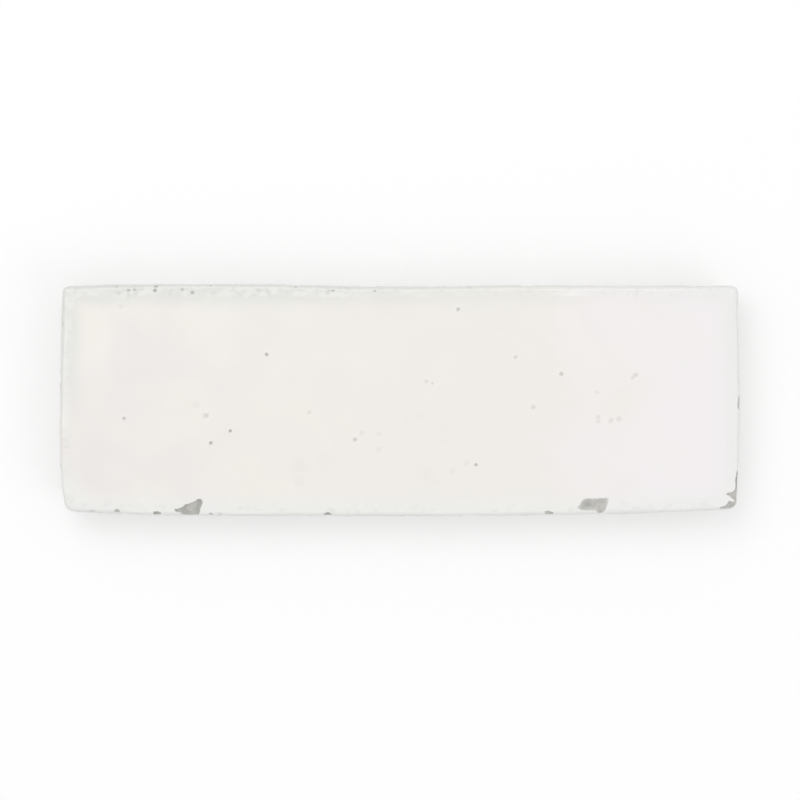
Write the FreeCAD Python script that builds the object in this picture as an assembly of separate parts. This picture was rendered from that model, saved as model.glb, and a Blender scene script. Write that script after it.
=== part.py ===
# One hand-made zellige tile, 15 by 5 centimetres: a single piece of fired clay, glazed on its face.
#
# It lies on its flat back with the glazed face up. Millimetres, +X along the length, +Y across it,
# +Z out of the glazed face. The origin is the middle of the footprint, on the plane of the back.
#
# The tile is cut and trimmed by hand, so nothing on it is quite straight. The four sides of the face
# bow by a few tenths, and its corners are eased by different amounts. The face itself waves gently
# and rolls over into the sides. Below a band that stays square, the sides were pared away in single
# strokes that lean in towards the back, so that tiles can stand with a hair joint. The front arris
# and the right end have lost flakes, which left shallow shell-shaped scars and a few nicks.

import FreeCAD
import Part
import math
import os
from collections import namedtuple

Vector = FreeCAD.Vector

# Face, at its nominal straight sides
LENGTH = 150.0
WIDTH = 50.8
# From the back to the highest point of the face
THICKNESS = 12.0

# How far each side stands out from its nominal line (+) or falls short of it (-), at even steps.
# The long sides run from the left end to the right, and the short ones from the front to the back.
FRONT_BOW = (-0.80, 0.10, 0.20, 0.20, 0.05, -0.30, -1.40)
BACK_BOW = (-0.30, 0.10, 0.00, -0.45, -0.20, -0.25, -0.30)
LEFT_BOW = (-0.80, 0.42, 0.33, 0.20, -0.05)
RIGHT_BOW = (-0.45, 0.15, 0.35, 0.05, -0.05)

# Corners of the face, seen from above. Each is larger than the arris that rolls round it.
FRONT_LEFT_RADIUS = 2.2
FRONT_RIGHT_RADIUS = 1.8
BACK_RIGHT_RADIUS = 1.3
BACK_LEFT_RADIUS = 1.2
# Where the glaze rolls over from the face into the sides
ARRIS_RADIUS = 0.8

# The glazed face: how far its hollows lie below its crests, and the distance between crests.
# Each swell leans across the other's direction, and its first crest lies off the middle.
WAVE_DEPTH = 0.55
WAVE_PITCH_X = 68.0
WAVE_PITCH_Y = 47.0
WAVE_LEAN_X = 0.18
WAVE_LEAN_Y = -0.12
WAVE_PHASE_X = 0.6
WAVE_PHASE_Y = -0.4
POINTS_PER_WAVE = 10

# Sides: the depth of the square band under the face, and how far the back lies inside the face
SQUARE_BAND = 4.5
UNDERCUT = 2.0
# One stroke of the trimming tool, and how far single strokes stray at the back and at the band
STROKE_LENGTH = 16.8
STRAY_AT_BACK = 0.45
STRAY_AT_BAND = 0.25
# Turns the number of a stroke into an irregular share of its stray, between -1 and 1
STRAY_TURN = 2.4

# Flakes lost from the front arris, each placed by the distance of its middle from the nearer end.
# A flake's head lies on its right, and its shallower tail overlaps it from the left.
LEFT_FLAKE_FROM_END = 28.2
LEFT_FLAKE_LENGTH = 6.6
LEFT_FLAKE_REACH = 3.6
LEFT_FLAKE_TAIL_REACH = 1.9
LEFT_FLAKE_DEPTH = 1.1
RIGHT_FLAKE_FROM_END = 32.2
RIGHT_FLAKE_LENGTH = 7.6
RIGHT_FLAKE_REACH = 3.5
RIGHT_FLAKE_TAIL_REACH = 2.9
RIGHT_FLAKE_DEPTH = 1.1
FLAKE_HEAD_SHARE = 0.66
FLAKE_TAIL_SHARE = 0.60
# Two flakes lost from the right end by the front corner, placed from the front side
END_FLAKE_FROM_FRONT = 4.7
END_FLAKE_LENGTH = 2.3
END_FLAKE_REACH = 2.6
END_FLAKE_DEPTH = 0.8
CORNER_FLAKE_FROM_FRONT = 1.7
CORNER_FLAKE_LENGTH = 3.4
CORNER_FLAKE_REACH = 2.6
CORNER_FLAKE_DEPTH = 1.0
# Nicks in the front arris, placed from the left end
NICKS_FROM_END = (12.2, 21.1, 58.9, 108.1)
NICK_LENGTH = 2.6
NICK_REACH = 1.2
NICK_DEPTH = 0.9

# How far the cutting shapes run past what they cut
CLEAR = 5.0

# A side of the face: its edge, its inward direction, and the corner radii at its start and end
Side = namedtuple("Side", "edge inward start_radius end_radius")


def corner(sign_x, sign_y):
    """A corner of the face before it is eased, from the end offsets of the two sides that meet."""
    end_bow = RIGHT_BOW if sign_x > 0 else LEFT_BOW
    side_bow = BACK_BOW if sign_y > 0 else FRONT_BOW
    x = LENGTH / 2 + end_bow[-1 if sign_y > 0 else 0]
    y = WIDTH / 2 + side_bow[-1 if sign_x > 0 else 0]
    return Vector(sign_x * x, sign_y * y, 0)


def bowed_edge(start, end, outward, nominal, bow):
    """One side of the face, as a smooth edge from one corner to the next.

    nominal is the side's distance from the middle, and bow its offsets in the order start to end."""
    points = [start]
    for i in range(1, len(bow) - 1):
        on_chord = start + (end - start) * (i / (len(bow) - 1))
        along = on_chord - outward * on_chord.dot(outward)
        points.append(along + outward * (nominal + bow[i]))
    points.append(end)
    curve = Part.BSplineCurve()
    curve.interpolate(points)
    return curve.toShape()


def face_sides():
    """The four sides of the face, counter-clockwise from the front one."""
    front_left, front_right = corner(-1, -1), corner(1, -1)
    back_right, back_left = corner(1, 1), corner(-1, 1)
    right, back = Vector(1, 0, 0), Vector(0, 1, 0)
    left, front = -right, -back
    front_edge = bowed_edge(front_left, front_right, front, WIDTH / 2, FRONT_BOW)
    right_edge = bowed_edge(front_right, back_right, right, LENGTH / 2, RIGHT_BOW)
    back_edge = bowed_edge(back_right, back_left, back, WIDTH / 2, BACK_BOW[::-1])
    left_edge = bowed_edge(back_left, front_left, left, LENGTH / 2, LEFT_BOW[::-1])
    return [
        Side(front_edge, back, FRONT_LEFT_RADIUS, FRONT_RIGHT_RADIUS),
        Side(right_edge, left, FRONT_RIGHT_RADIUS, BACK_RIGHT_RADIUS),
        Side(back_edge, front, BACK_RIGHT_RADIUS, BACK_LEFT_RADIUS),
        Side(left_edge, right, BACK_LEFT_RADIUS, FRONT_LEFT_RADIUS),
    ]


def face_height(x, y):
    """Height of the glazed face: broad swells that cross at a slant, never above THICKNESS."""
    swell_x = x / WAVE_PITCH_X + WAVE_LEAN_X * y / WAVE_PITCH_Y
    swell_y = y / WAVE_PITCH_Y + WAVE_LEAN_Y * x / WAVE_PITCH_X
    crests = math.cos(2 * math.pi * swell_x + WAVE_PHASE_X) + math.cos(2 * math.pi * swell_y + WAVE_PHASE_Y)
    return THICKNESS - WAVE_DEPTH * (2 - crests) / 4


def above_the_face():
    """Everything above the waving face, as a solid to cut away."""
    half_x, half_y = LENGTH / 2 + CLEAR, WIDTH / 2 + CLEAR
    columns = math.ceil(POINTS_PER_WAVE * 2 * half_x / WAVE_PITCH_X)
    rows = math.ceil(POINTS_PER_WAVE * 2 * half_y / WAVE_PITCH_Y)
    grid = []
    for i in range(columns + 1):
        x = -half_x + 2 * half_x * i / columns
        ys = [-half_y + 2 * half_y * j / rows for j in range(rows + 1)]
        grid.append([Vector(x, y, face_height(x, y)) for y in ys])
    surface = Part.BSplineSurface()
    surface.interpolate(grid)
    return surface.toShape().extrude(Vector(0, 0, WAVE_DEPTH + CLEAR))


def plan_distance(edge, place):
    """How far the furthest end of an edge is from a place, seen from above."""
    return max(math.hypot(v.X - place.x, v.Y - place.y) for v in edge.Vertexes)


def square_block(sides):
    """The tile before its sides are pared: bowed upright sides, eased corners and a waving face."""
    outline = Part.Wire([side.edge for side in sides])
    block = Part.Face(outline).extrude(Vector(0, 0, THICKNESS + CLEAR))
    for side in sides:
        place = side.edge.valueAt(side.edge.FirstParameter)
        upright = min(block.Edges, key=lambda e: plan_distance(e, place))
        block = block.makeFillet(side.start_radius, [upright])
    block = block.cut(above_the_face())
    face = max(block.Faces, key=lambda f: f.CenterOfMass.z)
    return block.makeFillet(ARRIS_RADIUS, face.Edges)


def corner_clearance(radius):
    """How far from a square corner a straight cut across it just touches a rounding of this radius."""
    return radius * (2 - math.sqrt(2))


def pared_outline(sides, height):
    """The leaning sides at one height: a closed polygon, one straight length to each stroke.

    It lies inside the face's outline at the back, crosses it about the foot of the square band, and
    lies outside it above. Across a corner it keeps clear of the corner's own rounding."""
    rise = height / (THICKNESS - SQUARE_BAND)
    lean = UNDERCUT * (1 - rise)
    points = []
    for side in sides:
        start = side.edge.valueAt(side.edge.FirstParameter)
        end = side.edge.valueAt(side.edge.LastParameter)
        along = (end - start).normalize()
        strokes = max(2, round(side.edge.Length / STROKE_LENGTH))
        stations = side.edge.discretize(Number=strokes + 1)
        stations[0] = start + along * (lean + corner_clearance(side.start_radius))
        stations[-1] = end - along * (lean + corner_clearance(side.end_radius))
        for station in stations:
            turn = STRAY_TURN * (len(points) + 1)
            stray_low = STRAY_AT_BACK * math.sin(turn)
            stray_high = STRAY_AT_BAND * math.cos(turn)
            stray = stray_low + (stray_high - stray_low) * rise
            points.append(station + side.inward * (lean + stray) + Vector(0, 0, height))
    return Part.makePolygon(points + points[:1])


def leaning_sides(sides):
    """The solid inside the pared sides, run on past the face."""
    foot = pared_outline(sides, 0)
    top = pared_outline(sides, THICKNESS + CLEAR)
    return Part.makeLoft([foot, top], True, True)


def bite(side, place, length, reach, depth):
    """The cutting ball of one shell-shaped bite out of a side's arris, abreast of a place.

    At the level of the face it passes through both ends of the bite on the arris and through the
    innermost point, and on the side it comes down to the depth."""
    half = length / 2
    rim_radius = (half**2 + reach**2) / (2 * reach)
    rise = (half**2 - depth**2) / (2 * depth)
    across = Part.makeLine(place - side.inward * WIDTH, place + side.inward * WIDTH)
    arris_point = side.edge.distToShape(across)[1][0][0]
    centre = arris_point + side.inward * (reach - rim_radius)
    centre.z = face_height(arris_point.x, arris_point.y) + rise
    return Part.makeSphere(math.hypot(rim_radius, rise), centre)


def front_flake(front, x, length, reach, tail_reach, depth):
    """A flake lost from the front arris, with its middle at x: its head and its tail."""
    head_length = FLAKE_HEAD_SHARE * length
    tail_length = FLAKE_TAIL_SHARE * length
    head = Vector(x + (length - head_length) / 2, -WIDTH / 2, 0)
    tail = Vector(x - (length - tail_length) / 2, -WIDTH / 2, 0)
    return [
        bite(front, head, head_length, reach, depth),
        bite(front, tail, tail_length, tail_reach, depth * tail_reach / reach),
    ]


def front_flakes(front):
    left = (LEFT_FLAKE_LENGTH, LEFT_FLAKE_REACH, LEFT_FLAKE_TAIL_REACH, LEFT_FLAKE_DEPTH)
    right = (RIGHT_FLAKE_LENGTH, RIGHT_FLAKE_REACH, RIGHT_FLAKE_TAIL_REACH, RIGHT_FLAKE_DEPTH)
    left_flake = front_flake(front, -LENGTH / 2 + LEFT_FLAKE_FROM_END, *left)
    right_flake = front_flake(front, LENGTH / 2 - RIGHT_FLAKE_FROM_END, *right)
    return left_flake + right_flake


def end_flakes(end):
    upper = Vector(LENGTH / 2, -WIDTH / 2 + END_FLAKE_FROM_FRONT, 0)
    lower = Vector(LENGTH / 2, -WIDTH / 2 + CORNER_FLAKE_FROM_FRONT, 0)
    return [
        bite(end, upper, END_FLAKE_LENGTH, END_FLAKE_REACH, END_FLAKE_DEPTH),
        bite(end, lower, CORNER_FLAKE_LENGTH, CORNER_FLAKE_REACH, CORNER_FLAKE_DEPTH),
    ]


def nicks(front):
    places = [Vector(-LENGTH / 2 + from_end, -WIDTH / 2, 0) for from_end in NICKS_FROM_END]
    return [bite(front, place, NICK_LENGTH, NICK_REACH, NICK_DEPTH) for place in places]


def centred(solid):
    """The solid moved so that the middle of its footprint is at the origin."""
    box = solid.optimalBoundingBox(False, False)
    solid.translate(Vector(-box.Center.x, -box.Center.y, 0))
    return solid


def zellige_tile():
    sides = face_sides()
    front, right_end = sides[:2]
    tile = square_block(sides).common(leaning_sides(sides))
    for lost in front_flakes(front) + end_flakes(right_end) + nicks(front):
        tile = tile.cut(lost)
    return centred(tile)


os.makedirs("parts", exist_ok=True)
zellige_tile().exportStep("parts/zellige_tile.step")
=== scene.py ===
import math
from collections import namedtuple

import bmesh
import bpy
import numpy as np
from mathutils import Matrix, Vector, noise
from mathutils.bvhtree import BVHTree

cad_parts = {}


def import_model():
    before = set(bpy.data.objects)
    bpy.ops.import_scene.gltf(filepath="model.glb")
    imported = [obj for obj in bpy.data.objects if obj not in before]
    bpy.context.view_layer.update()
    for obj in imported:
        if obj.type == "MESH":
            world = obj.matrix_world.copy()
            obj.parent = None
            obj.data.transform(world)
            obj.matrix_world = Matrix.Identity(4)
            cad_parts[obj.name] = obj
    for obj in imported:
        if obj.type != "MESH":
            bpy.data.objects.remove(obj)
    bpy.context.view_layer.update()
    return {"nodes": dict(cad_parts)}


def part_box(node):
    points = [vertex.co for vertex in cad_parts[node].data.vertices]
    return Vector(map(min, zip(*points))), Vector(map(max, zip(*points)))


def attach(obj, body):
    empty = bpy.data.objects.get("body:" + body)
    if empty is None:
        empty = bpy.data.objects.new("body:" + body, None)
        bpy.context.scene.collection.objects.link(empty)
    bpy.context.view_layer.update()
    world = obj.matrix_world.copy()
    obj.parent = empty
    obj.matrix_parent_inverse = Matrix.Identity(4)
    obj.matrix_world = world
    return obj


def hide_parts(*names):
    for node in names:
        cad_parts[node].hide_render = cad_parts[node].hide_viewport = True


# One hand-made zellige tile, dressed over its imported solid.
#
# The tile is a single closed mesh. It is laid out first on a flat sheet, with the four sides folded
# out round the face like the walls of a tray, and every point is then carried to its place on the
# solid. Glaze ripples, flakes, pinholes, drips and tool marks are moved into that mesh. The sheet is
# also the mesh's texture map. Lengths are millimetres until the mesh is written, which is in metres.

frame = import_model()

NODE = "zellige_tile"
MM = 0.001

# Half the length and width of the solid's box, and its height
HALF_X, HALF_Y, TOP = (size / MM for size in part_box(NODE)[1])

# The glazed face waves as the solid's does
WAVE_DEPTH = 0.55
WAVE_PITCH_X = 68.0
WAVE_PITCH_Y = 47.0
WAVE_LEAN_X = 0.18
WAVE_LEAN_Y = -0.12
WAVE_PHASE_X = 0.6
WAVE_PHASE_Y = -0.4

# The arris that rolls over into the sides, and the crumbled heel round the back, with the share by
# which the radius of each varies
ARRIS_RADIUS = 0.8
ARRIS_VARIES = 0.25
HEEL_RADIUS = 0.45
HEEL_VARIES = 0.6
# The square band under the face: a height inside it, and the height that no pared side reaches
BAND_LEVEL = 9.0
BAND_FOOT = 8.5

# The sheet: its coarse spacing, the arcs of arris and heel as laid out on it, and the side between
SPACING = 1.0
ARRIS_ARC = ARRIS_RADIUS * math.pi / 2
ARRIS_STEPS = 4
HEEL_ARC = HEEL_RADIUS * math.pi / 2
SIDE_DROP = TOP - ARRIS_RADIUS - HEEL_RADIUS
SHEET_EDGE = ARRIS_ARC + SIDE_DROP + HEEL_ARC

# Places round the tile are stations: millimetres round the rectangle of its box, counter-clockwise
# from the front left corner. These are the stations of its corners, back to the first.
CORNER_STATIONS = np.cumsum([0, 2 * HALF_X, 2 * HALF_Y, 2 * HALF_X, 2 * HALF_Y])
PERIMETER = 4 * (HALF_X + HALF_Y)

# A flake lost from a side's arris: the depth of its scar at the outline and how steeply it falls from
# there, and the width over which glaze gives way to clay. Its outline is drawn from the middle of the
# flake: along the side, and in from the side. A point outside the side opens it through the arris.
Flake = namedtuple("Flake", "side middle step slope soft outline")
FLAKES = (
    Flake("front", -46.8, 0.34, 0.20, 0.3, (
        (-1.8, -1.0), (2.2, -1.0), (2.3, 0.3), (3.0, 2.8), (2.7, 3.5), (2.0, 3.6),
        (0.9, 2.9), (-0.8, 2.3), (-2.2, 1.4), (-3.3, 1.2), (-3.1, 0.6), (-1.9, 0.4),
    )),
    Flake("front", 42.8, 0.32, 0.18, 1.4, (
        (0.6, -1.0), (2.6, -1.0), (2.8, 0.3), (3.2, 1.2), (3.8, 3.3), (3.2, 3.7),
        (0.4, 3.5), (-1.9, 3.7), (-2.8, 2.6), (-3.5, 1.2), (-2.6, 0.6), (0.4, 0.45),
    )),
    Flake("end", -20.9, 0.36, 0.25, 0.45, (
        (1.2, -1.0), (1.2, 0.4), (0.5, 1.3), (0.1, 2.7), (-0.6, 1.5), (-1.5, 0.5), (-1.5, -1.0),
    )),
    Flake("end", -23.6, 0.36, 0.25, 0.65, (
        (1.1, -1.0), (1.2, 0.7), (1.3, 1.7), (0.3, 2.1),
        (-0.2, 3.1), (-1.0, 2.9), (-2.0, 1.0), (-2.0, -1.0),
    )),
    Flake("end", -18.0, 0.50, 0.20, 0.4, (
        (2.8, -1.0), (2.6, 0.35), (0.5, 0.65), (-1.5, 0.5), (-3.5, 0.5), (-5.5, 0.5), (-5.5, -1.0),
    )),
    Flake("end", -0.8, 0.42, 0.20, 0.8, (
        (2.2, -1.0), (1.8, 0.4), (0.2, 0.75), (-1.6, 0.5), (-2.2, -1.0),
    )),
    Flake("front", -62.9, 0.32, 0.15, 0.5, (
        (-1.1, -1.0), (1.2, -1.0), (1.0, 0.5), (0.3, 1.1), (-0.6, 0.8),
    )),
    Flake("front", -53.9, 0.50, 0.40, 0.3, (
        (-1.1, -1.0), (1.1, -1.0), (0.9, 0.4), (0.1, 0.8), (-0.8, 0.5),
    )),
    Flake("front", -16.1, 0.50, 0.40, 0.3, (
        (-1.2, -1.0), (1.3, -1.0), (1.0, 0.4), (0.0, 0.8), (-0.9, 0.4),
    )),
    Flake("front", 33.1, 0.50, 0.40, 0.3, (
        (-1.3, -1.0), (1.3, -1.0), (1.0, 0.4), (-0.2, 0.9), (-0.9, 0.6),
    )),
    Flake("front", -42.0, 0.32, 0.15, 0.5, (
        (-0.9, -1.0), (0.9, -1.0), (0.5, 0.5), (-0.4, 0.6),
    )),
    Flake("back", -23.0, 0.32, 0.15, 0.4, (
        (-0.8, -1.0), (0.8, -1.0), (0.4, 0.5), (-0.5, 0.6),
    )),
    Flake("back", -54.2, 0.32, 0.15, 0.4, (
        (-0.9, -1.0), (0.8, -1.0), (0.5, 0.6), (-0.4, 0.5),
    )),
)
# How far outside its side a flake's outline reaches
FLAKE_OPENS = 1.0

# Pinholes and smudges in the glaze: their place on the face, radius, depth, and how dark they are inside
Pinhole = namedtuple("Pinhole", "x y radius depth dark")
PINHOLES = (
    Pinhole(-29.6, 10.1, 0.48, 0.40, 0.60),
    Pinhole(-37.7, -6.9, 0.45, 0.42, 0.65),
    Pinhole(-42.0, -9.5, 0.48, 0.40, 0.60),
    Pinhole(-43.0, -3.6, 0.85, 0.14, 0.36),
    Pinhole(-45.2, -1.0, 1.10, 0.02, 0.10),
    Pinhole(-61.2, -4.1, 0.46, 0.26, 0.50),
    Pinhole(-20.1, -2.8, 0.75, 0.10, 0.22),
    Pinhole(-22.4, -14.6, 2.00, 0.00, 0.05),
    Pinhole(-22.4, -18.2, 1.60, 0.00, 0.05),
    Pinhole(-10.0, -8.8, 0.56, 0.26, 0.46),
    Pinhole(-8.4, -7.2, 0.70, 0.03, 0.14),
    Pinhole(-4.6, -7.5, 0.70, 0.02, 0.12),
    Pinhole(-4.7, -11.0, 0.75, 0.04, 0.15),
    Pinhole(5.9, 4.1, 0.60, 0.12, 0.27),
    Pinhole(7.2, 3.6, 0.46, 0.10, 0.27),
    Pinhole(12.9, 20.1, 0.55, 0.28, 0.46),
    Pinhole(16.9, -14.4, 0.44, 0.36, 0.55),
    Pinhole(14.7, -14.0, 0.90, 0.02, 0.12),
    Pinhole(11.6, -15.7, 0.90, 0.00, 0.10),
    Pinhole(25.6, 9.4, 0.50, 0.22, 0.36),
    Pinhole(29.6, -1.6, 0.60, 0.20, 0.33),
    Pinhole(35.8, 5.8, 0.58, 0.30, 0.48),
    Pinhole(52.4, 5.5, 0.72, 0.12, 0.34),
    Pinhole(51.7, 4.9, 0.66, 0.10, 0.28),
    Pinhole(43.7, 1.6, 0.66, 0.08, 0.20),
    Pinhole(44.0, -3.8, 0.66, 0.10, 0.24),
    Pinhole(44.0, -4.8, 0.66, 0.08, 0.22),
    Pinhole(46.8, -4.6, 0.72, 0.10, 0.26),
    Pinhole(48.6, -4.2, 0.90, 0.08, 0.22),
    Pinhole(-61.9, 20.6, 0.80, 0.04, 0.15),
    Pinhole(-60.2, 24.4, 0.46, 0.18, 0.60),
    Pinhole(-58.9, 24.5, 0.40, 0.16, 0.50),
    Pinhole(-54.4, 24.3, 0.50, 0.24, 0.75),
    Pinhole(-48.3, 24.5, 0.40, 0.16, 0.50),
    Pinhole(-46.1, 23.8, 0.50, 0.20, 0.70),
    Pinhole(-14.8, 24.5, 0.48, 0.22, 0.85),
    Pinhole(-5.6, 24.4, 0.46, 0.20, 0.75),
)

# Relief comes in layers of smooth noise between -1 and 1. A layer has a height, the size of its
# features and a seed. Where an axis is squeezed first, the features are drawn out along it.
Layer = namedtuple("Layer", "height size seed squeeze", defaults=((1, 1, 1),))
# Spots are a layer too, but stand only where its noise rises from start to full
Spots = namedtuple("Spots", "height size seed start full squeeze", defaults=((1, 1, 1),))
# How far the noise of one seed lies from that of the next
SEED_STEPS = (17.3, 5.1, 9.7)


def smooth_step(low, high, value):
    """0 below low, 1 above high, and a smooth rise between."""
    share = np.clip((value - low) / (high - low), 0, 1)
    return share * share * (3 - 2 * share)


def hump(value, middle, width):
    """1 at the middle, and a smooth fall to about 0 over twice the width to either side."""
    return np.exp(-((value - middle) / width) ** 2)


def wander(points, size, seed):
    """Smooth noise between -1 and 1 at each point, with features of about size millimetres."""
    start = Vector([step * seed for step in SEED_STEPS])
    return np.array([noise.noise(Vector(p) / size + start) for p in points])


def layered(points, layers, level=0.0, seed=0):
    """A level and the layers added up at each point. The seed is added to those of the layers."""
    heights = [
        layer.height * wander(points * layer.squeeze, layer.size, layer.seed + seed) for layer in layers]
    return sum(heights, level)


def spotted(points, spots):
    """How high the spots stand at each point."""
    there = wander(points * spots.squeeze, spots.size, spots.seed)
    return spots.height * smooth_step(spots.start, spots.full, there)


def flat_points(x, y):
    """Points at height 0."""
    return np.stack([x, y, np.zeros(len(x))], axis=1)


def face_height(x, y):
    """Height of the face: broad swells that cross at a slant."""
    swell_x = x / WAVE_PITCH_X + WAVE_LEAN_X * y / WAVE_PITCH_Y
    swell_y = y / WAVE_PITCH_Y + WAVE_LEAN_Y * x / WAVE_PITCH_X
    crests = np.cos(2 * math.pi * swell_x + WAVE_PHASE_X) + np.cos(2 * math.pi * swell_y + WAVE_PHASE_Y)
    return TOP - WAVE_DEPTH * (2 - crests) / 4


def on_rectangle(station):
    """The places of stations."""
    x = np.interp(station, CORNER_STATIONS, HALF_X * np.array([-1, 1, 1, -1, -1]))
    y = np.interp(station, CORNER_STATIONS, HALF_Y * np.array([-1, -1, 1, 1, -1]))
    return x, y


def station_of(x, y):
    """The stations of points on the rectangle."""
    on_end = abs(x) - HALF_X > abs(y) - HALF_Y
    front = x + HALF_X
    right = 2 * HALF_X + HALF_Y + y
    back = 3 * HALF_X + 2 * HALF_Y - x
    left = PERIMETER - HALF_Y - y
    return np.where(on_end, np.where(x > 0, right, left), np.where(y < 0, front, back))


# Rays towards the tile start this far out. Within this length of a corner they fan out from one point.
RAY_START = 5.0
CORNER_FAN = 8.0


def side_points(solid, stations, heights, insets):
    """Where the solid's sides stand at each station and height, seen from straight outside. Each point
    is moved in by its inset.
    """
    hits = []
    for x, y, z, inset in zip(*on_rectangle(stations), heights, insets):
        inner_x = min(max(x, CORNER_FAN - HALF_X), HALF_X - CORNER_FAN)
        inner_y = min(max(y, CORNER_FAN - HALF_Y), HALF_Y - CORNER_FAN)
        inward = Vector((inner_x - x, inner_y - y, 0)).normalized()
        hit = solid.ray_cast(Vector((x, y, z)) - inward * RAY_START, inward)[0] + inward * inset
        hits.append((hit.x, hit.y))
    return np.array(hits)


def solid_tree():
    """The solid's mesh, for casting rays at it."""
    mesh = frame["nodes"][NODE].data
    return BVHTree.FromPolygons([v.co / MM for v in mesh.vertices], [p.vertices for p in mesh.polygons])


class Ring:
    """A closed line round the tile at one level, as a smooth function of the station."""

    STEP = 0.25
    SMOOTHED_OVER = 4.0
    CORNER_KEPT = 6.0

    def __init__(self, solid, height):
        count = round(PERIMETER / self.STEP)
        self.stations = np.arange(count) * PERIMETER / count
        raw = side_points(solid, self.stations, np.full(count, height), np.zeros(count))
        self.points = self.smoothed(raw)
        ahead = np.roll(self.points, -1, axis=0) - np.roll(self.points, 1, axis=0)
        outward = np.stack([ahead[:, 1], -ahead[:, 0]], axis=1)
        self.outward = outward / np.linalg.norm(outward, axis=1)[:, None]

    def smoothed(self, raw):
        """The facets of the solid's mesh taken out, but not near the corners."""
        half = round(self.SMOOTHED_OVER / self.STEP)
        shifts = range(-half, half + 1)
        weights = [math.exp(-2 * (shift / half) ** 2) for shift in shifts]
        mean = sum(w * np.roll(raw, s, axis=0) for w, s in zip(weights, shifts)) / sum(weights)
        x, y = on_rectangle(self.stations)
        from_corner = np.maximum(HALF_X - abs(x), HALF_Y - abs(y))
        share = smooth_step(self.CORNER_KEPT, 2 * self.CORNER_KEPT, from_corner)[:, None]
        return raw + (mean - raw) * share

    def at(self, values, station):
        """Values that are given for the ring's own stations, at other stations."""
        return np.stack(
            [np.interp(station, self.stations, column, period=PERIMETER) for column in values.T], axis=1)

    def place(self, station, inset):
        """The points of the ring, moved in from it by inset."""
        return self.at(self.points, station) - self.at(self.outward, station) * inset[:, None]


# The waves in the radius of the arris: the share of each, how many go round the tile, and its phase
ARRIS_WAVES = ((0.5, 7, 1.0), (0.3, 17, 0.0), (0.2, 31, 2.0))
HEEL_CRUMBLES = (Layer(1.0, 5.0, 30), Layer(1.0, 1.7, 31))


def arris_radius(station):
    """The radius of the arris, which a hand-glazed edge doesn't keep."""
    turn = 2 * math.pi * station / PERIMETER
    varies = sum(share * np.sin(count * turn + phase) for share, count, phase in ARRIS_WAVES)
    return ARRIS_RADIUS * (1 + ARRIS_VARIES * varies)


def heel_radius(station):
    """The rounding of the back edge, where the clay has crumbled."""
    places = flat_points(*on_rectangle(station))
    return HEEL_RADIUS * (1 + HEEL_VARIES * layered(places, HEEL_CRUMBLES))


def folded_in(x, y):
    """For points of the sheet: how far each lies out from the face, and its place on the rectangle."""
    out = np.maximum(np.maximum(abs(x) - HALF_X, abs(y) - HALF_Y), 0)
    return out, x / (1 + out / HALF_X), y / (1 + out / HALF_Y)


def filled(line, x, y):
    """A closed line filled in: points of the rectangle are stretched towards it, the outermost most.
    The line gives its points at stations of the rectangle.
    """
    inner_x = np.clip(x, CORNER_FAN - HALF_X, HALF_X - CORNER_FAN)
    inner_y = np.clip(y, CORNER_FAN - HALF_Y, HALF_Y - CORNER_FAN)
    share = np.maximum(abs(x - inner_x), abs(y - inner_y)) / CORNER_FAN
    stretch = np.where(share > 0, share, 1)
    station = station_of(inner_x + (x - inner_x) / stretch, inner_y + (y - inner_y) / stretch)
    inner = np.stack([inner_x, inner_y], axis=1)
    return inner + (line(station) - inner) * share[:, None]


class Shape:
    """Carries points of the sheet to the tile."""

    def __init__(self):
        self.solid = solid_tree()
        self.band = Ring(self.solid, BAND_LEVEL)

    def rim(self, station):
        """Where the face begins to roll over into the arris."""
        return self.band.place(station, arris_radius(station))

    def heel_line(self, station):
        """The edge of the flat back."""
        radius = heel_radius(station)
        return side_points(self.solid, station, radius, radius)

    def plan(self, x, y):
        """Places on the face as seen from above. Points of the sides go to the outline."""
        out, on_x, on_y = folded_in(x, y)
        outline = self.band.at(self.band.points, station_of(on_x, on_y))
        return np.where(out[:, None] > 0, outline, filled(self.rim, on_x, on_y))

    def carried(self, sheet):
        """The place of each point of the sheet. The back's points lie below the sheet."""
        out, on_x, on_y = folded_in(sheet[:, 0], sheet[:, 1])
        station = station_of(on_x, on_y)
        placed = np.zeros((len(sheet), 3))
        back = sheet[:, 2] < 0
        face = (out == 0) & ~back
        arris = (out > 0) & (out <= ARRIS_ARC)
        side = (out > ARRIS_ARC) & (out <= ARRIS_ARC + SIDE_DROP)
        heel = out > ARRIS_ARC + SIDE_DROP

        placed[back, :2] = filled(self.heel_line, on_x[back], on_y[back])
        placed[face, :2] = filled(self.rim, on_x[face], on_y[face])
        placed[face, 2] = face_height(*placed[face, :2].T)

        radius = arris_radius(station)
        rim = self.rim(station)
        rim_height = face_height(*rim.T)
        turn = out / ARRIS_RADIUS
        placed[arris, :2] = self.band.place(station, radius * (1 - np.sin(turn)))[arris]
        placed[arris, 2] = (rim_height - radius * (1 - np.cos(turn)))[arris]

        share = (out - ARRIS_ARC) / SIDE_DROP
        low = heel_radius(station)
        height = (rim_height - radius) * (1 - share) + low * share
        placed[side, :2] = self.band.at(self.band.points, station[side])
        placed[side, 2] = height[side]
        pared = side & (height < BAND_FOOT)
        placed[pared, :2] = side_points(self.solid, station[pared], height[pared], np.zeros(pared.sum()))

        turn = (out - ARRIS_ARC - SIDE_DROP)[heel] / HEEL_RADIUS
        low = low[heel]
        placed[heel, :2] = side_points(self.solid, station[heel], low, low * (1 - np.cos(turn)))
        placed[heel, 2] = low * (1 - np.sin(turn))
        return placed


def steps(start, end, spacing):
    """Even steps from start to end of about the spacing, without the start itself."""
    count = max(1, round(abs(end - start) / spacing))
    return list(np.linspace(start, end, count + 1)[1:])


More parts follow.
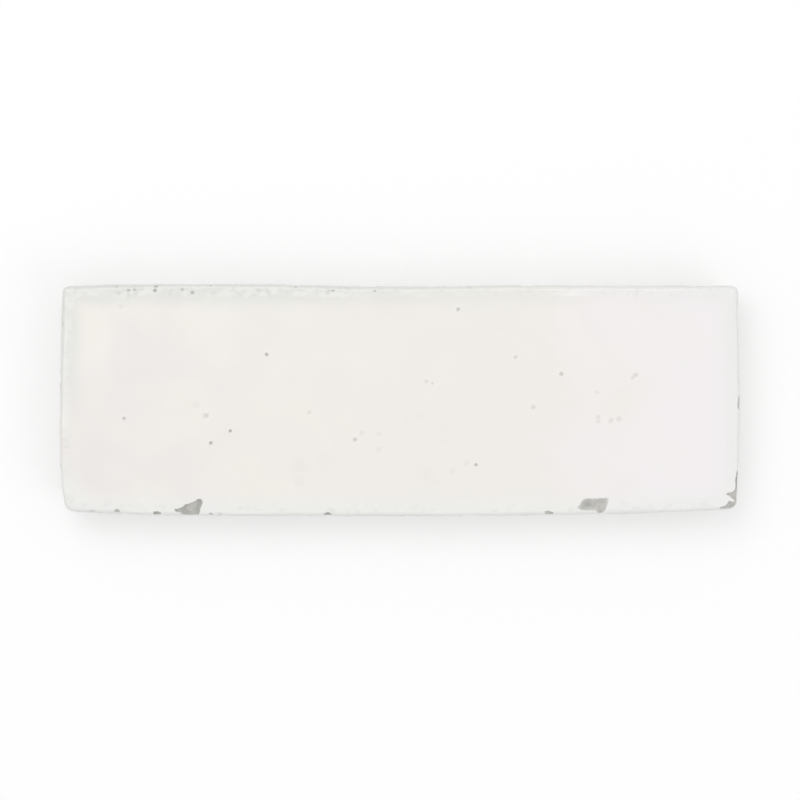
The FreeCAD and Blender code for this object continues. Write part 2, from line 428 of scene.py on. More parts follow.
def coarse_sheet():
    """The sheet and the back as a coarse mesh of four-sided faces. The back's inner points lie below
    the sheet.
    """
    columns = round(2 * HALF_X / SPACING)
    rows = round(2 * HALF_Y / SPACING)
    xs = np.linspace(-HALF_X, HALF_X, columns + 1)
    ys = np.linspace(-HALF_Y, HALF_Y, rows + 1)
    points = [(x, y, 0) for y in ys for x in xs]
    width = columns + 1
    faces = []
    for j in range(rows):
        for i in range(columns):
            k = j * width + i
            faces.append((k, k + 1, k + 1 + width, k + width))

    front = list(range(columns))
    right = [j * width + columns for j in range(rows)]
    back = [rows * width + i for i in range(columns, 0, -1)]
    left = [j * width for j in range(rows, 0, -1)]
    ring = front + right + back + left
    on_rim = [points[k] for k in ring]
    outs = steps(0, ARRIS_ARC, ARRIS_ARC / ARRIS_STEPS)
    outs += steps(ARRIS_ARC, ARRIS_ARC + SIDE_DROP, SPACING)
    outs += steps(ARRIS_ARC + SIDE_DROP, SHEET_EDGE, HEEL_ARC)
    for out in outs:
        first = len(points)
        points += [(x * (1 + out / HALF_X), y * (1 + out / HALF_Y), 0) for x, y, _ in on_rim]
        new_ring = list(range(first, len(points)))
        for k in range(len(ring)):
            after = (k + 1) % len(ring)
            faces.append((ring[k], new_ring[k], new_ring[after], ring[after]))
        ring = new_ring

    below = {}
    for k, (x, y, _) in enumerate(on_rim):
        below[x, y] = ring[k]
    for y in ys[1:-1]:
        for x in xs[1:-1]:
            below[x, y] = len(points)
            points.append((x, y, -1))
    for j in range(rows):
        for i in range(columns):
            corners = ((i, j), (i, j + 1), (i + 1, j + 1), (i + 1, j))
            faces.append(tuple(below[xs[a], ys[b]] for a, b in corners))
    mesh = bmesh.new()
    for point in points:
        mesh.verts.new(point)
    mesh.verts.ensure_lookup_table()
    for face in faces:
        mesh.faces.new([mesh.verts[k] for k in face])
    return mesh


class OutlineSide:
    """One side of the face, as a function of the place along it."""

    FIRST_CORNER = {"front": 0, "end": 1, "back": 2}
    INWARD = {"front": (0, 1), "end": (-1, 0), "back": (0, -1)}

    def __init__(self, name, band):
        corner = self.FIRST_CORNER[name]
        start, end = CORNER_STATIONS[corner:corner + 2]
        inside = (band.stations >= start) & (band.stations <= end)
        along, across = (1, 0) if name == "end" else (0, 1)
        order = np.argsort(band.points[inside, along])
        self.name = name
        self.along = band.points[inside, along][order]
        self.across = band.points[inside, across][order]
        self.inward = self.INWARD[name]

    def line(self, place):
        """How far out the side stands at a place along it."""
        return np.interp(place, self.along, self.across)

    def in_and_along(self, x, y):
        """How far points lie in from the side, and along it."""
        if self.name == "end":
            return self.line(y) - x, y
        if self.name == "back":
            return self.line(x) - y, x
        return y - self.line(x), x


def near_flake(flake, side, plan, margin):
    """Which points, seen from above, lie within about a margin of a flake."""
    inward, along = side.in_and_along(plan[:, 0], plan[:, 1])
    outline = np.array(flake.outline)
    low, high = outline[:, 0].min() - margin, outline[:, 0].max() + margin
    offset = along - flake.middle
    close_in = (inward < outline[:, 1].max() + margin) & (inward > -FLAKE_OPENS)
    return (offset > low) & (offset < high) & close_in


# The mesh is halved four times: first along the rims and down the sides, and then ever closer round
# the flakes, which the last time leaves out, and the pinholes
RIM_WIDTH = 3.0
FLAKE_MARGINS = (2.2, 1.2, 0.5, -9.0)
PINHOLE_MARGINS = (1.2, 0.7, 0.35, 0.12)
# The fewest mesh edges that span a pinhole's radius
PINHOLE_EDGES = 5


def to_split(centres, level, shape, sides):
    """Which faces of the sheet, by their centres, are split at a level of refining."""
    x, y = centres[:, 0], centres[:, 1]
    out = np.maximum(abs(x) - HALF_X, abs(y) - HALF_Y)
    plan = shape.plan(x, y)
    split = (out > -RIM_WIDTH) & (level == 0)
    margin = FLAKE_MARGINS[level]
    for flake in FLAKES:
        split |= near_flake(flake, sides[flake.side], plan, margin) & (out < ARRIS_ARC + margin)
    edge = SPACING / 2**level
    for hole in PINHOLES:
        reach = hole.radius + PINHOLE_MARGINS[level]
        if edge > hole.radius / PINHOLE_EDGES:
            split |= (np.hypot(plan[:, 0] - hole.x, plan[:, 1] - hole.y) < reach) & (out < 0)
    return split


def refine(mesh, shape, sides):
    """The sheet made finer by halves: along the rims, on the sides, and round flakes and pinholes."""
    for level in range(len(PINHOLE_MARGINS)):
        centres = np.array([face.calc_center_median() for face in mesh.faces])
        split = to_split(centres, level, shape, sides) & (centres[:, 2] == 0)
        chosen = [face for face, take in zip(mesh.faces, split) if take and len(face.verts) == 4]
        edges = {edge for face in chosen for edge in face.edges}
        bmesh.ops.subdivide_edges(mesh, edges=list(edges), cuts=1, use_grid_fill=True)
        mesh.faces.ensure_lookup_table()


# The way in which a flake's scar is pressed into the mesh, from upright towards the tile's middle
FLAKE_LEAN = math.radians(12)
# The width of the broken wall of glaze round a scar, as a share of its softness
WALL_WIDTH = 0.5
# How far the outline of a scar wanders, and the layers that it wanders by
WALL_WANDER = 0.16
WALL_LAYERS = (Layer(1.0, 0.9, 0), Layer(0.6, 0.35, 1))
# Ripples of a scar: their height, their phase for each millimetre in from the outline, and its shift
RIPPLE_HEIGHT = 0.05
RIPPLE_TURN = 7.0
RIPPLE_SHIFT = Layer(2.0, 1.5, 2)
SCAR_GRAIN = (Layer(0.07, 0.6, 3), Layer(0.04, 0.25, 4))
# The seed of the first flake, which is added to those of its layers, and the step to the next one
FLAKE_SEED = 40
FLAKE_SEEDS = 5
# The arris isn't nibbled as well this near to a flake
FLAKE_SURROUND = 0.8
# Points up to this far past an outline are pressed, if they lie above this height
PRESS_MARGIN = 0.5
PRESS_FLOOR = TOP - 3.0
# A point settles at its depth in this many turns. Where the scar is shallower than this, it sets in.
PRESS_TURNS = 10
PRESS_SETS_IN = 0.08
# A point that is pressed less than this isn't part of the scar
PRESSED = 0.02
# Clay begins to show this share of a flake's softness inside its outline
CLAY_SHOWS = 0.15


def signed_distance(outline, x, y):
    """How far points lie inside a closed outline; outside it, less than 0."""
    corners = np.array(outline)
    nearest = np.full(len(x), np.inf)
    inside = np.zeros(len(x), bool)
    for (ax, ay), (bx, by) in zip(corners, np.roll(corners, -1, axis=0)):
        length_squared = (bx - ax) ** 2 + (by - ay) ** 2
        share = np.clip(((x - ax) * (bx - ax) + (y - ay) * (by - ay)) / length_squared, 0, 1)
        nearest = np.minimum(nearest, np.hypot(x - ax - share * (bx - ax), y - ay - share * (by - ay)))
        crosses = (ay > y) != (by > y)
        rise = np.where(crosses, by - ay, 1)
        inside ^= crosses & (x < ax + (y - ay) * (bx - ax) / rise)
    return np.where(inside, nearest, -nearest)


def inside_flake(flake, along, inward, seed):
    """How far points lie inside a flake's broken outline."""
    wall = WALL_WANDER * layered(flat_points(along, inward), WALL_LAYERS, seed=seed)
    return signed_distance(flake.outline, along, inward) + wall


def scar_depth(flake, along, inward, seed):
    """How deep a flake's scar lies under the face."""
    here = flat_points(along, inward)
    inside = inside_flake(flake, along, inward, seed)
    ripples = RIPPLE_HEIGHT * np.sin(RIPPLE_TURN * inside + layered(here, [RIPPLE_SHIFT], seed=seed))
    grain = layered(here, SCAR_GRAIN, seed=seed)
    depth = flake.step + flake.slope * np.maximum(inside, 0) + ripples + grain
    return smooth_step(0, WALL_WIDTH * flake.soft, inside) * depth


def lost_to_flakes(points, sides):
    """1 where a flake is lost, and 0 away from the flakes."""
    lost = np.zeros(len(points))
    for flake in FLAKES:
        side = sides[flake.side]
        near = near_flake(flake, side, points, FLAKE_SURROUND)
        inward, along = side.in_and_along(points[near, 0], points[near, 1])
        inside = signed_distance(flake.outline, along - flake.middle, inward)
        lost[near] = np.maximum(lost[near], smooth_step(-FLAKE_SURROUND, 0, inside))
    return lost


def press_flakes(points, sides):
    """The scars of the lost flakes, pressed into the points. Also gives how bare each point is."""
    bare = np.full(len(points), -1.0)
    for number, flake in enumerate(FLAKES):
        side = sides[flake.side]
        near = near_flake(flake, side, points, PRESS_MARGIN) & (points[:, 2] > PRESS_FLOOR)
        start = points[near]
        inward, along = side.in_and_along(start[:, 0], start[:, 1])
        along = along - flake.middle
        below = face_height(start[:, 0], start[:, 1]) - start[:, 2]
        pressed = np.zeros(len(start))
        seed = FLAKE_SEED + FLAKE_SEEDS * number
        for _ in range(PRESS_TURNS):
            moved_in = inward + pressed * math.sin(FLAKE_LEAN)
            depth = scar_depth(flake, along, moved_in, seed)
            set_in = smooth_step(0, PRESS_SETS_IN, depth)
            goal = np.maximum(depth - below, 0) * set_in / math.cos(FLAKE_LEAN)
            pressed = (pressed + goal) / 2
        points[near, :2] += pressed[:, None] * math.sin(FLAKE_LEAN) * np.array(side.inward)
        points[near, 2] -= pressed * math.cos(FLAKE_LEAN)
        inside = np.where(pressed > PRESSED, inside_flake(flake, along, moved_in, seed), -1)
        bare[near] = np.maximum(bare[near], inside / flake.soft - CLAY_SHOWS)
    return bare


# A pinhole moves points out to this many radii. Its outline is ragged, each one's by other noise.
PINHOLE_REACH = 3
PINHOLE_RAGGED = Layer(0.35, 0.6, 7)
PINHOLES_APART = 10.0
# The power of its bowl's profile, and the share of the bowl at which it is as dark as it gets
BOWL_POWER = 1.5
BOWL_DARK = 0.9
# The raised lip: its height, its place and width in radii, and the depth of pinhole that has all of it
PINHOLE_LIP = 0.025
PINHOLE_LIP_AT = 1.2
PINHOLE_LIP_WIDTH = 0.3
PINHOLE_LIP_DEPTH = 0.3


def press_pinholes(points, face):
    """Small craters with a soft raised lip. Also gives how dark each point is inside."""
    dark = np.zeros(len(points))
    for number, hole in enumerate(PINHOLES):
        offset = points[:, :2] - (hole.x, hole.y)
        near = face & (np.hypot(*offset.T) < PINHOLE_REACH * hole.radius)
        ragged = layered(points[near] + PINHOLES_APART * number, [PINHOLE_RAGGED], level=1)
        away = np.hypot(*offset[near].T) / (hole.radius * ragged)
        bowl = np.clip(1 - away**2, 0, 1)
        lip = PINHOLE_LIP * hump(away, PINHOLE_LIP_AT, PINHOLE_LIP_WIDTH)
        lip *= min(1, hole.depth / PINHOLE_LIP_DEPTH)
        points[near, 2] += lip - hole.depth * bowl**BOWL_POWER
        dark[near] = np.maximum(dark[near], hole.dark * smooth_step(0.0, BOWL_DARK, bowl))
    return dark


# The face swells gently, and the glaze on the arris and sides wobbles. One gives way to the other
# over this width inside the rim.
SWELL = (Layer(0.035, 13.0, 1), Layer(0.014, 5.5, 2), Layer(0.005, 2.4, 3))
WOBBLE = (Layer(0.11, 6.0, 5), Layer(0.05, 1.8, 6))
SWELL_FADE = 2.0
# Inside the rim stands a lip: its height, place and width, and how it varies
LIP_HEIGHT = 0.04
LIP_INSET = 1.7
LIP_WIDTH = 1.0
LIP_VARIES = Layer(1.3, 6.0, 4)
# The rim is pitted along the left half of the back side, up to these borders
PITS = Layer(0.13, 1.8, 19)
PITS_INSET = 1.0
PITS_WIDTH = 1.2
PITTED_X = (20, -20)
PITTED_Y = (HALF_Y - 6, HALF_Y - 3)

# How far the glaze runs down below the arris, and by how much more in drips, which differ in length
RUN = 2.4
RUN_VARIES = (Layer(1.6, 14.0, 8, (1, 1, 0.15)), Layer(0.9, 3.6, 9, (1, 1, 0.3)))
DRIP_LENGTH = 3.0
DRIP_VARIES = Layer(4.0, 17.0, 20, (1, 1, 0.05))
DRIPS = Spots(1.0, 4.5, 17, 0.22, 0.66, (1, 1, 0.1))
# Below the arris the glaze stands out by this much, which sets in over a short length
GLAZE_THICK = 0.12
GLAZE_SETS_IN = 1.0
# It swells into a bead: the bead's height, how far above the end it lies, and its width
BEAD_HEIGHT = 0.12
BEAD_ABOVE = 0.7
BEAD_WIDTH = 0.5
# It thins out to the clay from above its end to below it
GLAZE_END = (-0.35, 0.1)

# The bare clay of the sides is dragged down in strokes and has lost crumbs. Both fade above the heel.
DOWN_SIDE = (1, 1, 0.2)
CLAY_MARKS = (Layer(0.09, 2.2, 10, DOWN_SIDE), Layer(0.06, 0.9, 11, DOWN_SIDE), Layer(0.05, 0.8, 18))
CRUMBS = Spots(0.30, 1.5, 12, 0.32, 0.6)
CLAY_FADE = (SHEET_EDGE - 0.2, SHEET_EDGE - 1.8)

# The arris is nibbled where these layers pass a start, which rises away from its middle
NIBBLES = (Layer(1.0, 1.5, 13), Layer(0.6, 0.6, 14))
NIBBLE_START = 0.42
NIBBLE_RISE = 0.45
NIBBLE_DEPTH = 0.45

# Dents and long drag marks in the back, which fade towards its edge
BACK_DENTS = (Spots(0.14, 3.5, 15, 0.15, 0.6), Spots(0.12, 2.6, 16, 0.1, 0.5, (0.08, 1, 1)))
DENTS_FADE = (1.5, 5.0)

# A nibble bares the clay past this depth, and fully this much deeper
NIBBLE_BARES = 0.12
NIBBLE_SOFT = 0.1
# Below its end the glaze gives way to bare clay over this length
END_SOFT = 0.5
# The distance in from the rim is given between these limits
RIM_LIMITS = (-2, 12)


def glaze_relief(points, out):
    """The glaze of face and arris."""
    lip = LIP_HEIGHT * hump(out, -LIP_INSET, LIP_WIDTH) * layered(points, [LIP_VARIES], level=1)
    pitted = smooth_step(*PITTED_X, points[:, 0]) * smooth_step(*PITTED_Y, points[:, 1])
    lip += layered(points, [PITS]) * hump(out, -PITS_INSET, PITS_WIDTH) * pitted
    on_top = smooth_step(0.0, -SWELL_FADE, out)
    return layered(points, SWELL) * on_top + lip + layered(points, WOBBLE) * (1 - on_top)


def past_glaze(points, out):
    """How far points lie below the end of the glaze."""
    run = layered(points, RUN_VARIES, level=RUN)
    drips = layered(points, [DRIP_VARIES], level=DRIP_LENGTH) * spotted(points, DRIPS)
    return out - ARRIS_ARC - run - drips


def clay_relief(points, out):
    """The bare clay of the sides."""
    return (layered(points, CLAY_MARKS) - spotted(points, CRUMBS)) * smooth_step(*CLAY_FADE, out)


def nibbles(points, out, sides):
    """How deep the arris is nibbled, away from the flakes."""
    from_arris = abs(out - ARRIS_ARC / 2)
    nibble = layered(points, NIBBLES) - NIBBLE_START - NIBBLE_RISE * from_arris
    return NIBBLE_DEPTH * np.clip(nibble, 0, 1) * (1 - lost_to_flakes(points, sides))


def back_dents(points, sheet):
    """How deep the back is dented."""
    from_edge = np.minimum(HALF_X - abs(sheet[:, 0]), HALF_Y - abs(sheet[:, 1]))
    return sum(spotted(points, dents) for dents in BACK_DENTS) * smooth_step(*DENTS_FADE, from_edge)


def vertex_normals(mesh):
    """The mesh's normals, a row for each point."""
    normals = np.zeros(len(mesh.vertices) * 3, np.float32)
    mesh.vertex_normals.foreach_get("vector", normals)
    return normals.reshape(-1, 3).astype(float)


def write_points(mesh, points):
    """Points in millimetres written into the mesh in metres."""
    mesh.vertices.foreach_set("co", (points * MM).astype(np.float32).ravel())
    mesh.update()


def relieved(mesh, sheet, points, sides):
    """All the relief, moved into the points. Also gives the values that the material reads."""
    out = np.maximum(abs(sheet[:, 0]) - HALF_X, abs(sheet[:, 1]) - HALF_Y)
    back = sheet[:, 2] < 0
    face = (out <= 0) & ~back
    out = np.where(back, SHEET_EDGE, out)

    past_end = past_glaze(points, out)
    bead = GLAZE_THICK + BEAD_HEIGHT * hump(past_end, -BEAD_ABOVE, BEAD_WIDTH)
    on_side = smooth_step(ARRIS_ARC, ARRIS_ARC + GLAZE_SETS_IN, out)
    clay = smooth_step(*GLAZE_END, past_end)
    nibbled = nibbles(points, out, sides)
    relief = (glaze_relief(points, out) + bead * on_side) * (1 - clay) + clay_relief(points, out) * clay
    relief = relief - nibbled

    moved = points + vertex_normals(mesh) * relief[:, None]
    moved[back] = points[back]
    moved[back, 2] = back_dents(points, sheet)[back]
    moved[:, 2] = np.maximum(moved[:, 2], 0)

    scars = press_flakes(moved, sides)
    dark = press_pinholes(moved, face)
    bare = np.maximum(scars, (nibbled - NIBBLE_BARES) / NIBBLE_SOFT)
    bare = np.maximum(bare, np.where(back, 1.0, past_end / END_SOFT))
    return moved, {
        "bare": np.clip(bare, -1, 1),
        "scar": np.clip(scars, -1, 1),
        "pinhole": dark,
        "rim": np.clip(-out, *RIM_LIMITS),
    }


# The texture map: the room round the sheet and the back, and how near its edge the sheet ends
MAP_MARGIN = 2.0
EDGE_NEAR = 0.01


def map_sheet(mesh, sheet):
    """The sheet as the mesh's texture map, with the back beside it."""
    span = 2 * (HALF_X + SHEET_EDGE) + 2 * MAP_MARGIN
    sheet_middle = HALF_Y + SHEET_EDGE + MAP_MARGIN
    back_middle = 2 * sheet_middle + HALF_Y + MAP_MARGIN
    out, on_x, on_y = folded_in(sheet[:, 0], sheet[:, 1])
    layer = mesh.uv_layers.new(name="OFBake")
    corner_points = np.zeros(len(mesh.loops), int)
    mesh.loops.foreach_get("vertex_index", corner_points)
    starts = np.zeros(len(mesh.polygons), int)
    mesh.polygons.foreach_get("loop_start", starts)
    totals = np.zeros(len(mesh.polygons), int)
    mesh.polygons.foreach_get("loop_total", totals)
    lowest = np.minimum.reduceat(sheet[corner_points, 2], starts)
    edge_only = np.minimum.reduceat(out[corner_points], starts) > SHEET_EDGE - EDGE_NEAR
    of_back = np.repeat((lowest < 0) | edge_only, totals)
    u = np.where(of_back, span / 2 - on_x[corner_points], span / 2 + sheet[corner_points, 0])
    v = np.where(of_back, back_middle + on_y[corner_points], sheet_middle + sheet[corner_points, 1])
    layer.data.foreach_set("uv", np.stack([u, v], axis=1).ravel() / span)


def tile_piece():
    """The whole tile as one mesh."""
    shape = Shape()
    sides = {name: OutlineSide(name, shape.band) for name in OutlineSide.FIRST_CORNER}
    sheet_mesh = coarse_sheet()
    refine(sheet_mesh, shape, sides)
    mesh = bpy.data.meshes.new("glazed_tile")
    sheet_mesh.to_mesh(mesh)
    sheet_mesh.free()
    sheet = np.zeros(len(mesh.vertices) * 3)
    mesh.vertices.foreach_get("co", sheet)
    sheet = sheet.reshape(-1, 3)
    points = shape.carried(sheet)
    write_points(mesh, points)
    moved, values = relieved(mesh, sheet, points, sides)
    write_points(mesh, moved)
    for name, numbers in values.items():
        attribute = mesh.attributes.new(name, "FLOAT", "POINT")
        attribute.data.foreach_set("value", numbers.astype(np.float32))
    map_sheet(mesh, sheet)
    mesh.shade_smooth()
    tile = bpy.data.objects.new("glazed_tile", mesh)
    bpy.context.scene.collection.objects.link(tile)
    return tile


# Patches of a material: the size of their features in millimetres, their detail and seed, and the
# noise from which they rise from least to most
Patches = namedtuple("Patches", "size detail seed start full least most", defaults=(0.0, 1.0))
# A zone of the tile: the axis along which it fades, from one place in millimetres to another, and its
# share below the first and above the second
Zone = namedtuple("Zone", "axis first second below above")
# How far a border wanders: its reach, and the size of its features, their detail and seed
Wander = namedtuple("Wander", "reach size detail seed")


class Nodes:
    """Adds nodes to a material, and joins them."""

    def __init__(self, tree):
        self.tree = tree

    def add(self, kind, inputs=(), **settings):
        node = self.tree.nodes.new("ShaderNode" + kind)
        for name, value in settings.items():
            setattr(node, name, value)
        for name, value in dict(inputs).items():
            if isinstance(value, bpy.types.NodeSocket):
                self.tree.links.new(value, node.inputs[name])
            else:
                node.inputs[name].default_value = value
        return node

    def noise(self, where, size, detail, seed):
        """Noise about 0.5, with features of about size millimetres."""
        inputs = {"Vector": where, "Scale": 1 / (size * MM), "Detail": detail, "W": seed}
        return self.add("TexNoise", inputs, noise_dimensions="4D").outputs["Fac"]

    def value(self, name):
        """A value of the mesh's points."""
        return self.add("Attribute", attribute_name=name).outputs["Fac"]

    def axes(self, where):
        """A place's three axes, by name."""
        return self.add("SeparateXYZ", {"Vector": where}).outputs

    def math(self, operation, a, b):
        return self.add("Math", {0: a, 1: b}, operation=operation).outputs[0]

    def times(self, first, *others):
        """Values multiplied by each other."""
        for other in others:
            first = self.math("MULTIPLY", first, other)
        return first

    def ramp(self, value, low, high, to_low=0.0, to_high=1.0):
        """to_low below low, to_high above high, and a smooth rise between."""
        inputs = {"Value": value, "From Min": low, "From Max": high, "To Min": to_low, "To Max": to_high}
        return self.add("MapRange", inputs, interpolation_type="SMOOTHSTEP").outputs["Result"]

    def mix(self, share, a, b):
        """Colour a turned into colour b by a share."""
        return self.add("Mix", {0: share, 6: a, 7: b}, data_type="RGBA").outputs[2]

    def patches(self, where, patches):
        """The share of some patches."""
        noise = self.noise(where, patches.size, patches.detail, patches.seed)
        return self.ramp(noise, patches.start, patches.full, patches.least, patches.most)

    def zone(self, place, zone):
        """The share of a zone."""
        return self.ramp(place[zone.axis], zone.first * MM, zone.second * MM, zone.below, zone.above)

    def wandered(self, value, where, wander):
        """A value that grows by between 0 and the reach."""
        noise = self.noise(where, wander.size, wander.detail, wander.seed)
        return self.math("ADD", value, self.times(noise, wander.reach))


def colour(red, green, blue):
    """A colour given as it looks on a screen, from 0 to 255, and so by the sRGB curve."""
    def linear(value):
        share = value / 255
        return share / 12.92 if share <= 0.04045 else ((share + 0.055) / 1.055) ** 2.4
    return linear(red), linear(green), linear(blue), 1.0


GLAZE_BODY = colour(240, 237, 232)
GLAZE_WARM = colour(241, 237, 231)
GLAZE_GREY = colour(235, 232, 228)
GLAZE_ROSE = colour(236, 231, 229)
# A pinkish tone, lighter than the body: a painted reflection on the right end
GLAZE_PINK_REFLECTION = colour(243, 239, 240)
# Cooler and greyer tones for the rim: painted shade along it
GLAZE_COOL_SHADE = colour(236, 238, 236)
GLAZE_GREY_SHADE = colour(226, 228, 223)
GLAZE_SMEAR = colour(212, 213, 209)
CLAY_PALE = colour(214, 212, 207)
CLAY_GREY = colour(196, 195, 190)
CLAY_SAND = colour(180, 177, 170)
CLAY_SPECK = colour(140, 138, 132)
CLAY_CORE = colour(171, 171, 167)
PINHOLE_INSIDE = colour(172, 169, 164)

WARM_CLOUDS = Patches(26, 2, 1.0, 0.35, 0.68)
GREY_CLOUDS = Patches(11, 3, 2.0, 0.52, 0.75, most=0.55)
ROSY_CLOUDS = Patches(14, 1, 2.5, 0.38, 0.58)
ROSY_LEFT = Zone("X", -80, 0, 0.9, 0.1)
# The pink right end, a pinkish tone brightened by a painted reflection, sets in between these places,
# and its border wanders to the left of them
PINK_REFLECTION_SETS_IN = (55 * MM, 95 * MM)
PINK_REFLECTION_BORDER = Wander(60 * MM, 14, 2, 3.0)
# Towards the rim the glaze is painted with shade: cooler in front and on the right, and greyer at the
# back and on the left. It changes between two distances in from the rim, and these are its shares there.
RIM_SHADE_SHARE = (2.0, 7.5, 0.9, 0.0)
RIM_SHADE_BORDER = Wander(3.0, 7, 2, 4.0)
COOL_SHADE_FRONT = Zone("Y", -20, -8, 0.7, 0.0)
COOL_SHADE_RIGHT = Zone("X", 50, 70, 0.0, 0.7)
GREY_SHADE_BACK = Zone("Y", -20, 22, 0.0, 1.0)
GREY_SHADE_LEFT = Zone("X", -40, 70, 1.0, 0.1)
# Smears lie close to the rim, inside and outside it, and most where the back left rim is pitted
SMEARS = Patches(1.3, 2, 4.5, 0.5, 0.72)
SMEARS_INSIDE = (0.3, 3.0, 0.8, 0.0)
SMEARS_OUTSIDE = (-1.0, 0.0)
PITTED_LEFT = Zone("X", -20, 20, 1.0, 0.0)
PITTED_BACK = Zone("Y", 19, 22, 0.0, 1.0)
SMEARED = Zone("X", 70, 73, 0.4, 0.1)


def glaze_colour(n, where):
    """Off-white, with broad clouds, a pinkish right end brightened by a painted reflection, and painted
    shade towards the rim.
    """
    place = n.axes(where)
    rim = n.value("rim")
    glaze = n.mix(n.patches(where, WARM_CLOUDS), GLAZE_BODY, GLAZE_WARM)
    glaze = n.mix(n.patches(where, GREY_CLOUDS), glaze, GLAZE_GREY)
    rosy = n.times(n.patches(where, ROSY_CLOUDS), n.zone(place, ROSY_LEFT))
    glaze = n.mix(rosy, glaze, GLAZE_ROSE)
    # Painted reflection: the right end is made pinker and brighter
    pink_reflection = n.ramp(n.wandered(place["X"], where, PINK_REFLECTION_BORDER), *PINK_REFLECTION_SETS_IN)
    glaze = n.mix(pink_reflection, glaze, GLAZE_PINK_REFLECTION)
    # Painted shade: the glaze turns cooler and greyer towards the rim
    rim_shade = n.ramp(n.wandered(rim, where, RIM_SHADE_BORDER), *RIM_SHADE_SHARE)
    cool_shade = n.times(rim_shade, n.math("MAXIMUM", n.zone(place, COOL_SHADE_FRONT), n.zone(place, COOL_SHADE_RIGHT)))
    glaze = n.mix(cool_shade, glaze, GLAZE_COOL_SHADE)
    grey_shade = n.times(rim_shade, n.zone(place, GREY_SHADE_BACK), n.zone(place, GREY_SHADE_LEFT))
    glaze = n.mix(grey_shade, glaze, GLAZE_GREY_SHADE)
    near_rim = n.times(n.ramp(rim, *SMEARS_INSIDE), n.ramp(rim, *SMEARS_OUTSIDE))
    pitted = n.times(n.zone(place, PITTED_LEFT), n.zone(place, PITTED_BACK))
    smeared = n.math("MAXIMUM", pitted, n.zone(place, SMEARED))
    smears = n.times(n.patches(where, SMEARS), near_rim, smeared)
    return n.mix(smears, glaze, GLAZE_SMEAR)


CLAY_CLOUDS = Patches(12, 6, 5.0, 0.30, 0.70, most=0.8)
CLAY_STROKES = Patches(1.2, 4, 5.5, 0.45, 0.70, most=0.6)
CLAY_SANDS = Patches(0.5, 4, 5.7, 0.50, 0.75, most=0.55)
CLAY_SPECKS = Patches(0.35, 2, 6.0, 0.64, 0.72, most=0.6)
CORE_CLOUDS = Patches(2.6, 2, 6.5, 0.36, 0.62, least=0.25)
# The strokes are drawn out down the sides, and along the back, which is this low
STROKES_ON_SIDES = (1, 1, 0.15)
STROKES_ON_BACK = (0.06, 1, 0)
BACK_ZONE = Zone("Z", 0.2, 0.5, 1.0, 0.0)


def clay_colour(n, where):
    """Pale grey fired clay, with strokes, sand and specks, and darker in the scars of the flakes."""
    down_sides = n.add("Mapping", {"Vector": where, "Scale": STROKES_ON_SIDES}).outputs["Vector"]
    along_back = n.add("Mapping", {"Vector": where, "Scale": STROKES_ON_BACK}).outputs["Vector"]
    strokes = n.mix(n.zone(n.axes(where), BACK_ZONE), down_sides, along_back)
    clay = n.mix(n.patches(where, CLAY_CLOUDS), CLAY_PALE, CLAY_GREY)
    clay = n.mix(n.patches(strokes, CLAY_STROKES), clay, CLAY_GREY)
    clay = n.mix(n.patches(where, CLAY_SANDS), clay, CLAY_SAND)
    clay = n.mix(n.patches(where, CLAY_SPECKS), clay, CLAY_SPECK)
    core = n.times(n.ramp(n.value("scar"), 0.0, 1.0), n.patches(where, CORE_CLOUDS))
    return n.mix(core, clay, CLAY_CORE)


# How bare a point is where the clay begins to show, and where it shows fully. The border wanders.
BARE = (0.13, 0.43)
BARE_BORDER = Wander(0.5, 0.5, 3, 7.0)
GLAZE_IOR = 1.5
GLAZE_ROUGHNESS = Patches(9, 3, 8.0, 0.3, 0.7, 0.10, 0.20)
CLAY_ROUGHNESS = 0.88
# The finest relief is bump, with a strength and a depth. The glaze's skin and the clay's grit are noise
# of a size, detail and seed, and each has a share of that depth.
BUMP_STRENGTH = 0.6
BUMP_DEPTH = 0.12 * MM
SKIN = (1.6, 2, 9.0)
SKIN_SHARE = 0.12
GRIT = (0.5, 6, 10.0)
GRIT_SHARE = 2.5


def glazed_clay():
    """Off-white glaze, with pale grey fired clay wherever the glaze is cut through or ends."""
    material = bpy.data.materials.new("glazed_clay")
    material.use_nodes = True
    tree = material.node_tree
    n = Nodes(tree)
    shader = tree.nodes["Principled BSDF"]
    shader.inputs["IOR"].default_value = GLAZE_IOR
    where = n.add("TexCoord").outputs["Object"]
    pinhole = n.value("pinhole")

    bare = n.ramp(n.wandered(n.value("bare"), where, BARE_BORDER), *BARE)
    surface = n.mix(bare, glaze_colour(n, where), clay_colour(n, where))
    surface = n.mix(pinhole, surface, PINHOLE_INSIDE)
    tree.links.new(surface, shader.inputs["Base Color"])

    gloss = n.patches(where, GLAZE_ROUGHNESS)
    matt = n.math("MAXIMUM", bare, pinhole)
    rough = n.add("MapRange", {"Value": matt, "To Min": gloss, "To Max": CLAY_ROUGHNESS})
    tree.links.new(rough.outputs["Result"], shader.inputs["Roughness"])

    skin = n.times(n.noise(where, *SKIN), SKIN_SHARE)
    grit = n.times(n.noise(where, *GRIT), GRIT_SHARE)
    height = n.add("Mix", {0: bare, 2: skin, 3: grit}, data_type="FLOAT").outputs[0]
    bump = n.add("Bump", {"Strength": BUMP_STRENGTH, "Distance": BUMP_DEPTH, "Height": height})
    tree.links.new(bump.outputs["Normal"], shader.inputs["Normal"])
    return material


def seen_directly(n):
    """1 for rays from the camera, a reflection or a transmission, which show the background white."""
    path = n.add("LightPath").outputs
    both = n.math("MAXIMUM", path["Is Camera Ray"], path["Is Glossy Ray"])
    return n.math("MAXIMUM", both, path["Is Transmission Ray"])


# The studio, in metres
FLOOR_SIZE = 6.0
WHITE = (1, 1, 1, 1)
FLOOR_LIT = (0.72, 0.72, 0.72, 1)
# How much of the floor's seen white is its own, which lightens the shadow on it
FLOOR_GLOW = 0.45
WORLD_LIGHT = 0.70


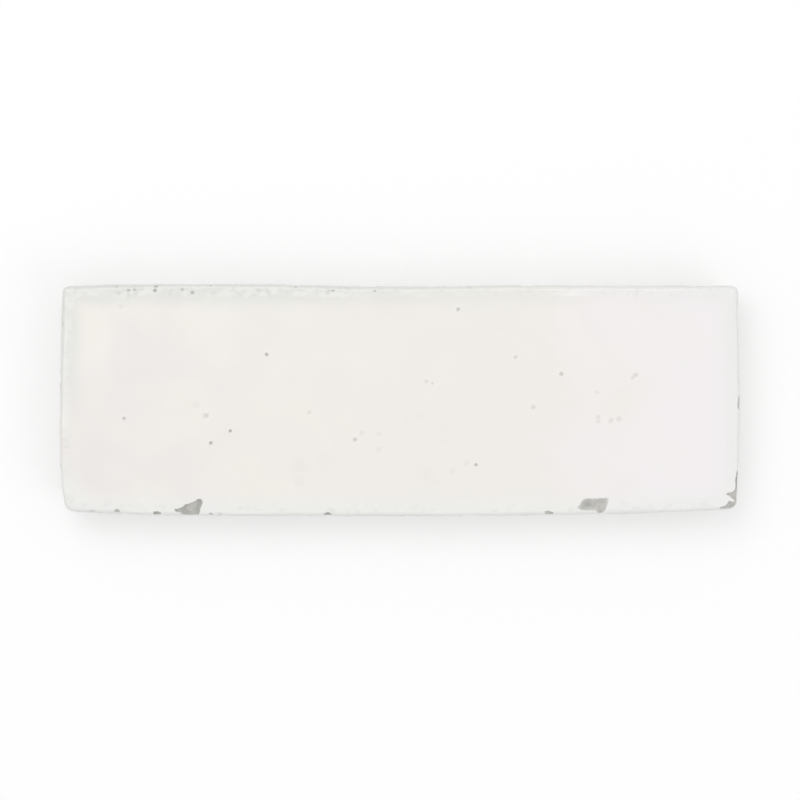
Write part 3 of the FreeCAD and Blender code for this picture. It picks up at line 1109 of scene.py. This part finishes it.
def floor():
    """A plain pale floor, white to the camera."""
    half = FLOOR_SIZE / 2
    corners = [(x * half, y * half, 0) for x, y in ((-1, -1), (1, -1), (1, 1), (-1, 1))]
    mesh = bpy.data.meshes.new("studio_floor")
    mesh.from_pydata(corners, [], [(0, 1, 2, 3)])
    plane = bpy.data.objects.new("studio_floor", mesh)
    bpy.context.scene.collection.objects.link(plane)
    material = bpy.data.materials.new("studio_floor")
    material.use_nodes = True
    tree = material.node_tree
    tree.nodes.remove(tree.nodes["Principled BSDF"])
    n = Nodes(tree)
    seen = seen_directly(n)
    lit = n.add("BsdfDiffuse", {"Color": n.mix(seen, FLOOR_LIT, WHITE)}).outputs[0]
    glow = n.add("Emission", {"Color": WHITE}).outputs[0]
    both = n.add("MixShader", {0: n.times(seen, FLOOR_GLOW), 1: lit, 2: glow}).outputs[0]
    tree.links.new(both, tree.nodes["Material Output"].inputs["Surface"])
    mesh.materials.append(material)


def world():
    """Even light from all round, white where it is seen."""
    made = bpy.data.worlds.new("studio")
    made.use_nodes = True
    n = Nodes(made.node_tree)
    background = made.node_tree.nodes["Background"]
    background.inputs["Color"].default_value = WHITE
    strength = n.ramp(seen_directly(n), 0, 1, WORLD_LIGHT, 1.0)
    made.node_tree.links.new(strength, background.inputs["Strength"])
    bpy.context.scene.world = made


def softbox(name, azimuth, elevation, distance, size, strength):
    """A square lamp that faces the tile, placed by its direction as seen from the tile."""
    light = bpy.data.lights.new(name, "AREA")
    light.shape = "SQUARE"
    light.size = size
    light.energy = strength * distance**2
    lamp = bpy.data.objects.new(name, light)
    bpy.context.scene.collection.objects.link(lamp)
    side, rise = math.radians(azimuth), math.radians(elevation)
    towards = Vector((math.cos(side) * math.cos(rise), math.sin(side) * math.cos(rise), math.sin(rise)))
    lamp.location = towards * distance
    lamp.rotation_euler = towards.to_track_quat("Z", "Y").to_euler()
    lamp.visible_camera = False


# The camera's lens, and the share of the picture's width that the tile takes up
LENS = 200.0
FILLED_SHARE = 0.85


def camera():
    """Straight above the tile, as the photograph looks."""
    data = bpy.data.cameras.new("camera")
    data.lens = LENS
    eye = bpy.data.objects.new("camera", data)
    bpy.context.scene.collection.objects.link(eye)
    frame_width = 2 * HALF_X * MM / FILLED_SHARE
    eye.location = (0, 0, TOP * MM + frame_width * LENS / data.sensor_width)
    bpy.context.scene.camera = eye


camera()
tile = tile_piece()
tile.data.materials.append(glazed_clay())
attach(tile, "root")
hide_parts(NODE)
floor()
world()
softbox("key", azimuth=125, elevation=62, distance=1.2, size=0.9, strength=2.9)
softbox("fill", azimuth=-35, elevation=40, distance=1.5, size=0.9, strength=1.3)
bpy.context.scene.view_settings.view_transform = "Standard"
